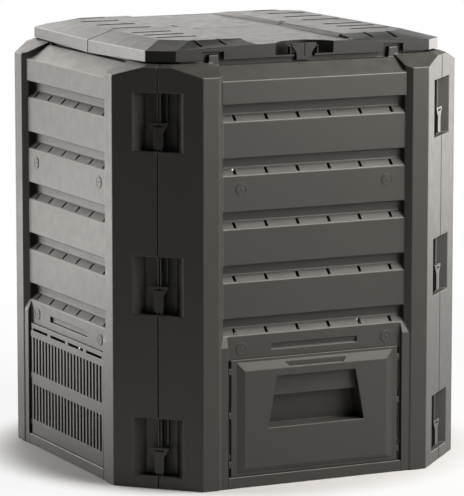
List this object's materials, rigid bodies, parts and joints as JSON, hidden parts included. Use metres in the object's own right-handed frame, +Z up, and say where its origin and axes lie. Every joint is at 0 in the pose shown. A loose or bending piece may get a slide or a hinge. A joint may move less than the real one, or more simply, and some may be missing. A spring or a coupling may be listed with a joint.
{
  "type": "compost bin with lid",
  "caption": "Square garden compost bin of louvred wall panels clipped together at chamfered corners, with lift-off hatches and grilles at the foot and a folding, latched lid.",
  "frame": {"origin": "centre of the bin's footprint, on the ground", "axes": "+Z up, -Y towards the front with the hatch and the latch, +X to the right seen from the front"},
  "size_m": [0.719, 0.719, 0.826],
  "materials": {
    "wall": "satin moulded dark grey plastic with a fine grain",
    "lid": "satin moulded dark grey plastic with a fine grain",
    "panel": "satin moulded dark grey plastic with a fine grain",
    "clip": "smooth moulded dark grey plastic",
    "pin": "smooth moulded black plastic"
  },
  "bodies": {
    "bin": {"wall_front": "wall", "wall_right": "wall", "wall_rear": "wall", "wall_left": "wall", "lid_rear": "lid", "lid_hinge_pin_left": "pin", "lid_hinge_pin_right": "pin"},
    "lid_leaf": {"lid_front": "lid"},
    "latch": {"lid_latch": "clip"},
    "hatch_front_panel": {"hatch_front": "panel"},
    "hatch_rear_panel": {"hatch_rear": "panel"},
    "grille_left_panel": {"grille_left": "panel"},
    "grille_right_panel": {"grille_right": "panel"},
    "clip_front_right_low_piece": {"clip_front_right_low": "clip"},
    "clip_front_right_middle_piece": {"clip_front_right_middle": "clip"},
    "clip_front_right_high_piece": {"clip_front_right_high": "clip"},
    "clip_rear_right_low_piece": {"clip_rear_right_low": "clip"},
    "clip_rear_right_middle_piece": {"clip_rear_right_middle": "clip"},
    "clip_rear_right_high_piece": {"clip_rear_right_high": "clip"},
    "clip_rear_left_low_piece": {"clip_rear_left_low": "clip"},
    "clip_rear_left_middle_piece": {"clip_rear_left_middle": "clip"},
    "clip_rear_left_high_piece": {"clip_rear_left_high": "clip"},
    "clip_front_left_low_piece": {"clip_front_left_low": "clip"},
    "clip_front_left_middle_piece": {"clip_front_left_middle": "clip"},
    "clip_front_left_high_piece": {"clip_front_left_high": "clip"}
  },
  "joints": [
    {"name": "lid_hinge", "type": "hinge", "parent": "bin", "child": "lid_leaf", "pos_m": [0, 0.02, 0.8185], "axis": [-1, 0, 0], "range_deg": [0, 100]},
    {"name": "latch_hinge", "type": "hinge", "parent": "lid_leaf", "child": "latch", "pos_m": [0, -0.2985, 0.808], "axis": [-1, 0, 0], "range_deg": [0, 14], "stiffness_Nm_per_rad": 0.05, "springref_deg": -5.73},
    {"name": "hatch_front_lift", "type": "slide", "parent": "bin", "child": "hatch_front_panel", "axis": [0, -0.4226, 0.9063], "range_m": [0, 0.25]},
    {"name": "hatch_rear_lift", "type": "slide", "parent": "bin", "child": "hatch_rear_panel", "axis": [0, 0.4226, 0.9063], "range_m": [0, 0.25]},
    {"name": "grille_left_lift", "type": "slide", "parent": "bin", "child": "grille_left_panel", "axis": [-0.4226, 0, 0.9063], "range_m": [0, 0.25]},
    {"name": "grille_right_lift", "type": "slide", "parent": "bin", "child": "grille_right_panel", "axis": [0.4226, 0, 0.9063], "range_m": [0, 0.25]},
    {"name": "clip_front_right_low_slide", "type": "slide", "parent": "bin", "child": "clip_front_right_low_piece", "axis": [0, 0, 1], "range_m": [0, 0.045]},
    {"name": "clip_front_right_middle_slide", "type": "slide", "parent": "bin", "child": "clip_front_right_middle_piece", "axis": [0, 0, 1], "range_m": [0, 0.045]},
    {"name": "clip_front_right_high_slide", "type": "slide", "parent": "bin", "child": "clip_front_right_high_piece", "axis": [0, 0, 1], "range_m": [0, 0.045]},
    {"name": "clip_rear_right_low_slide", "type": "slide", "parent": "bin", "child": "clip_rear_right_low_piece", "axis": [0, 0, 1], "range_m": [0, 0.045]},
    {"name": "clip_rear_right_middle_slide", "type": "slide", "parent": "bin", "child": "clip_rear_right_middle_piece", "axis": [0, 0, 1], "range_m": [0, 0.045]},
    {"name": "clip_rear_right_high_slide", "type": "slide", "parent": "bin", "child": "clip_rear_right_high_piece", "axis": [0, 0, 1], "range_m": [0, 0.045]},
    {"name": "clip_rear_left_low_slide", "type": "slide", "parent": "bin", "child": "clip_rear_left_low_piece", "axis": [0, 0, 1], "range_m": [0, 0.045]},
    {"name": "clip_rear_left_middle_slide", "type": "slide", "parent": "bin", "child": "clip_rear_left_middle_piece", "axis": [0, 0, 1], "range_m": [0, 0.045]},
    {"name": "clip_rear_left_high_slide", "type": "slide", "parent": "bin", "child": "clip_rear_left_high_piece", "axis": [0, 0, 1], "range_m": [0, 0.045]},
    {"name": "clip_front_left_low_slide", "type": "slide", "parent": "bin", "child": "clip_front_left_low_piece", "axis": [0, 0, 1], "range_m": [0, 0.045]},
    {"name": "clip_front_left_middle_slide", "type": "slide", "parent": "bin", "child": "clip_front_left_middle_piece", "axis": [0, 0, 1], "range_m": [0, 0.045]},
    {"name": "clip_front_left_high_slide", "type": "slide", "parent": "bin", "child": "clip_front_left_high_piece", "axis": [0, 0, 1], "range_m": [0, 0.045]}
  ]
}
